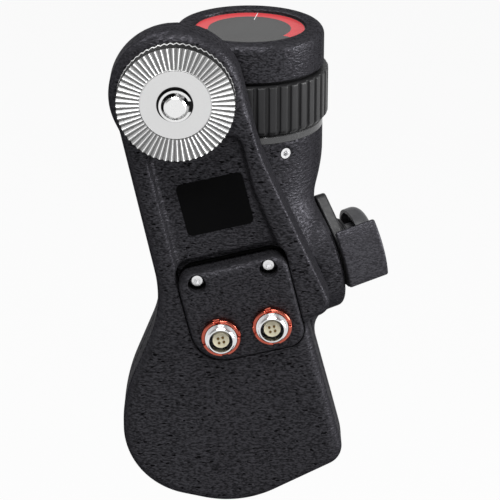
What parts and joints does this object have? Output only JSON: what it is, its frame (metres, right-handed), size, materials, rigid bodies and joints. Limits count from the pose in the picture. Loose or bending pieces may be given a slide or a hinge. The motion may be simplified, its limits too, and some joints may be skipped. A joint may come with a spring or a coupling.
{
  "type": "hand controller",
  "caption": "Side grip for a camera with a toothed mounting rosette, a round display head, an endless finger wheel, a sprung front rocker and cable sockets.",
  "frame": {"origin": "centre of the toothed rosette, on its plain seating face", "axes": "-Y points out of the rosette, towards the camera it is clamped to; +Z is the axis of the display head; +X points to the finger side"},
  "size_m": [0.0768, 0.0631, 0.1401],
  "materials": {
    "body_paint": "rough speckled paint",
    "plate_paint": "rough speckled paint",
    "bezel_paint": "rough speckled paint",
    "paddle_paint": "rough paint",
    "wheel_satin": "satin anodised",
    "cap_satin": "satin anodised",
    "dark_anodised": "anodised",
    "satin_ring": "satin",
    "raw_steel": "fine turned",
    "bright_steel": "polished",
    "steel": "plain",
    "chrome_shell": "polished",
    "red_anodised": "anodised",
    "cream_plastic": "moulded",
    "gold_contact": "plated",
    "label_black": "gloss",
    "window_glass": "smooth",
    "display_face": "gloss",
    "circuit_board": "coated",
    "flat_cable": "film",
    "bearing_plastic": "moulded",
    "encoder_plastic": "moulded",
    "rubber": "moulded",
    "magnet": "ground"
  },
  "bodies": {
    "grip": {"arm_casing": "body_paint", "hand_casing": "body_paint", "casing_screws": "steel", "screw_plugs": "rubber", "rosette": "raw_steel", "rosette_screws": "steel", "bolt_bush": "bright_steel", "label_plate": "label_black", "connector_plate": "plate_paint", "plate_seal": "rubber", "plate_screws": "bright_steel", "connector_shells": "chrome_shell", "connector_nuts": "red_anodised", "connector_inserts": "cream_plastic", "connector_contacts": "gold_contact", "connector_board": "circuit_board", "main_board": "circuit_board", "board_screws": "steel", "flex_cable": "flat_cable", "head_core": "dark_anodised", "collar_ring": "satin_ring", "encoder_board": "circuit_board", "wheel_bush": "bearing_plastic", "wheel_seal": "rubber", "bezel": "bezel_paint", "display_glass": "window_glass", "display_panel": "display_face", "display_board": "circuit_board", "neck_screws": "bright_steel", "rocker_post": "dark_anodised", "rocker_bush": "bearing_plastic", "rocker_spring": "steel", "sensor_board": "circuit_board"},
    "wheel": {"control_wheel": "wheel_satin", "encoder_ring": "encoder_plastic"},
    "rocker": {"rocker_shaft": "steel", "rocker_disc": "cap_satin", "rocker_cap": "cap_satin", "rocker_paddle": "paddle_paint", "rocker_screw": "bright_steel", "rocker_magnet": "magnet"},
    "bolt_carrier": {"bolt_washer": "steel"},
    "bolt": {"clamp_bolt": "bright_steel"}
  },
  "joints": [
    {"name": "wheel_turn", "type": "hinge", "parent": "grip", "child": "wheel", "pos_m": [0.0195, 0.0384, 0], "axis": [0, 0, 1], "continuous": true},
    {"name": "rocker_tilt", "type": "hinge", "parent": "grip", "child": "rocker", "pos_m": [0.04065, 0.0325, -0.05452], "axis": [0.9177, 0.3305, 0.2203], "range_deg": [-20, 20], "stiffness_Nm_per_rad": 0.1},
    {"name": "bolt_slide", "type": "slide", "parent": "grip", "child": "bolt_carrier", "axis": [0, -1, 0], "range_m": [0, 0.005]},
    {"name": "bolt_turn", "type": "hinge", "parent": "bolt_carrier", "child": "bolt", "pos_m": [0, 0, 0], "axis": [0, -1, 0], "continuous": true}
  ]
}
